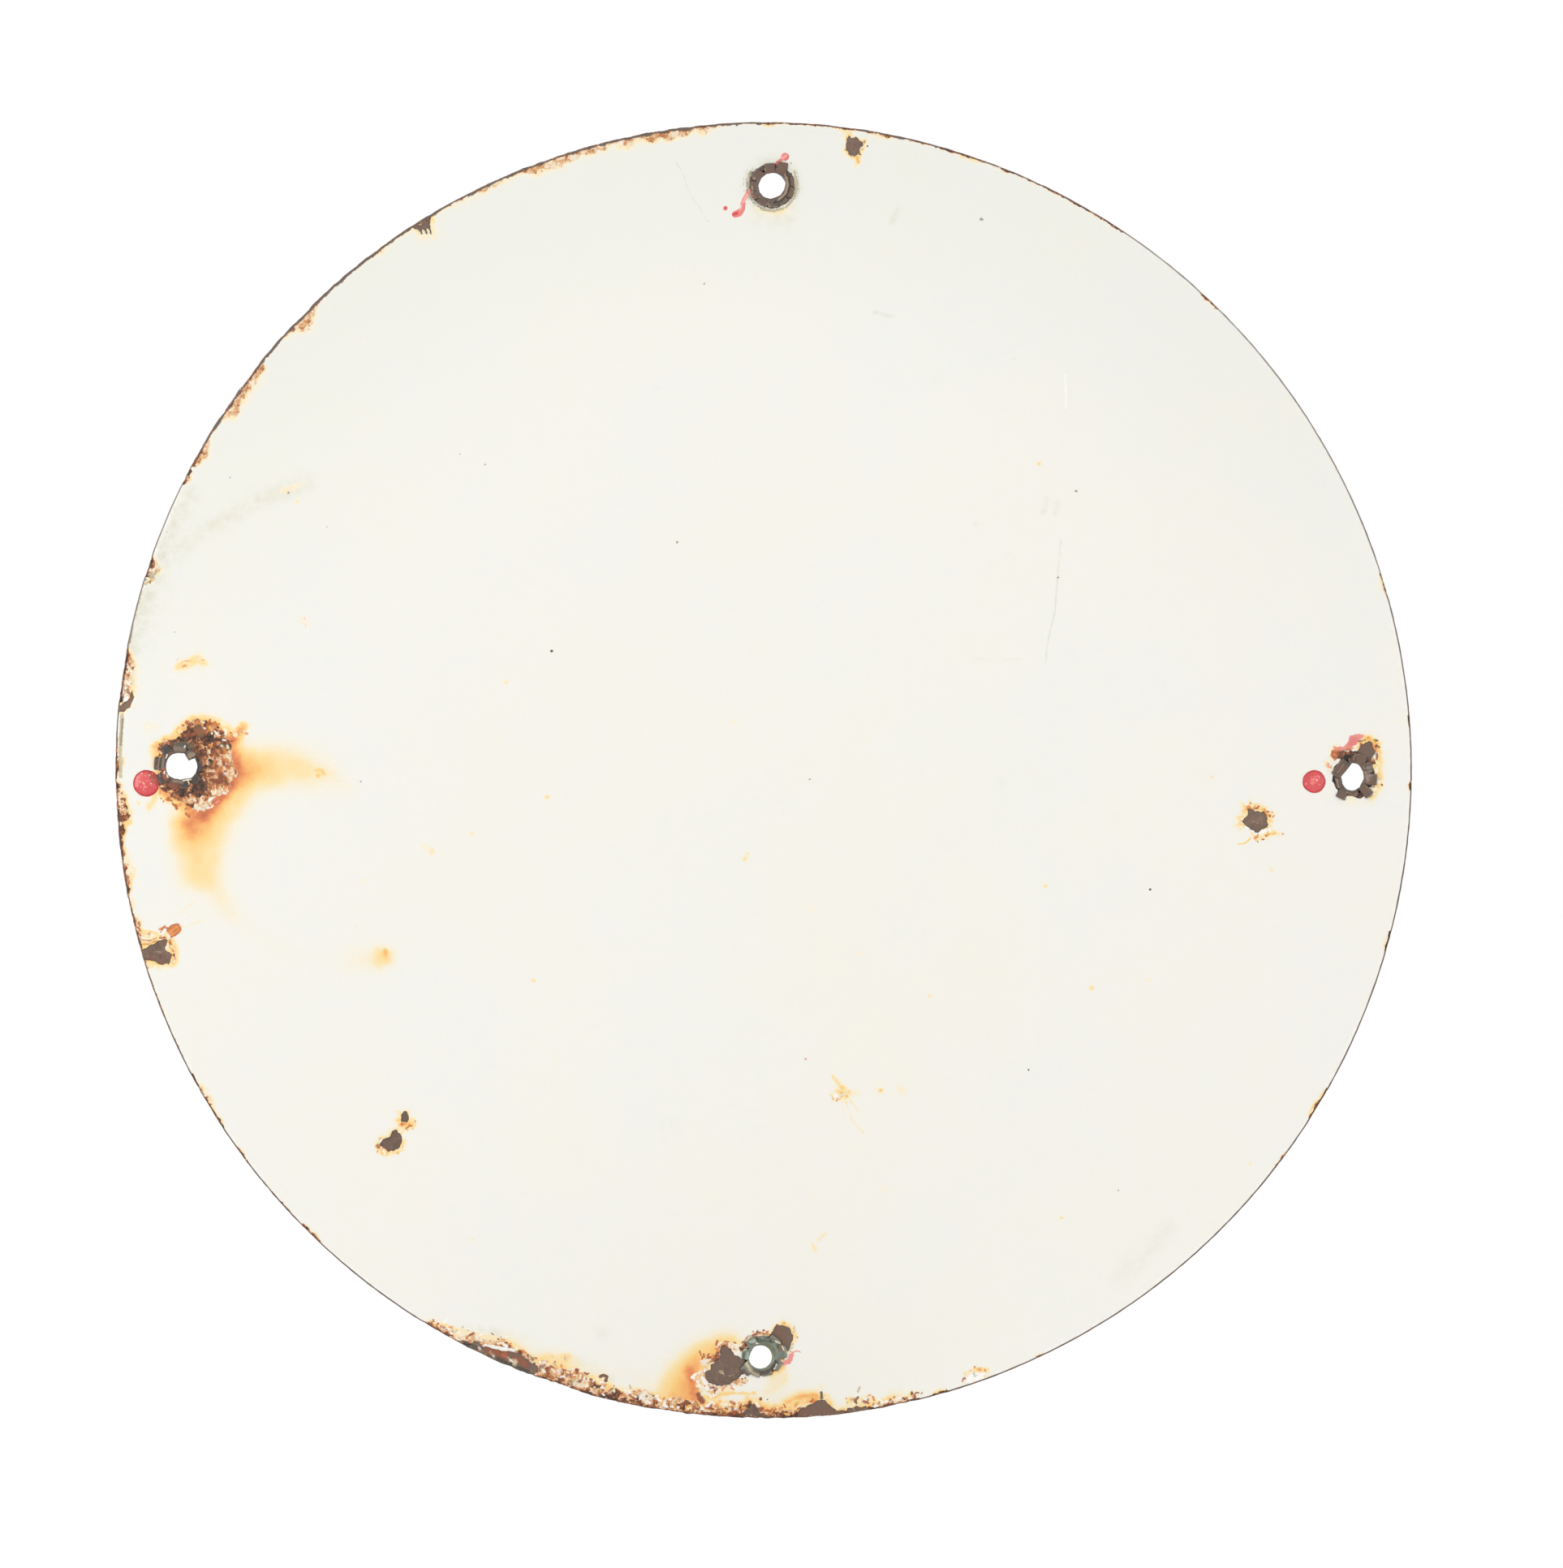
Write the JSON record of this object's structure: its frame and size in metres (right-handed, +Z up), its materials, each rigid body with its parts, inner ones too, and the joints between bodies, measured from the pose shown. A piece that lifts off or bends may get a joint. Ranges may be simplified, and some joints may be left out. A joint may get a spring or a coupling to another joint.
{
  "type": "porcelain pump plate sign",
  "caption": "Flat round porcelain enamelled steel plate with clinched brass eyelets near its rim, bare ivory on both faces inside a plain red border on the front.",
  "frame": {"origin": "centre of the circle through the four eyelet bores, half way through the steel; the disc's own centre lies 0.8 mm to -X and 0.3 mm to +Z of it", "axes": "+Z up as the plate hangs, +Y out of the printed front with the red border, -Y out of the plain back with the clinched tabs, +X to the right seen from the back"},
  "size_m": [0.3048, 0.0034, 0.3048],
  "materials": {
    "bare_steel": "bare sheet steel, dark brown with old rust",
    "ground_enamel": "dark fired ground coat",
    "ivory_enamel": "gloss ivory white fired enamel with rust stains and chips",
    "red_enamel": "gloss red fired enamel",
    "tarnished_brass": "brass tarnished dark brown",
    "green_brass": "brass with grey green verdigris"
  },
  "bodies": {
    "root": {"steel_blank": "bare_steel", "ground_coat_back": "ground_enamel", "ground_coat_front": "ground_enamel", "cover_coat_back": "ivory_enamel", "cover_coat_front": "ivory_enamel", "border_coat_front": "red_enamel", "eyelet_top": "tarnished_brass", "eyelet_right": "tarnished_brass", "eyelet_bottom": "green_brass", "eyelet_left": "tarnished_brass", "red_drop_left": "red_enamel", "red_drop_right": "red_enamel", "red_run_top": "red_enamel"}
  },
  "joints": []
}
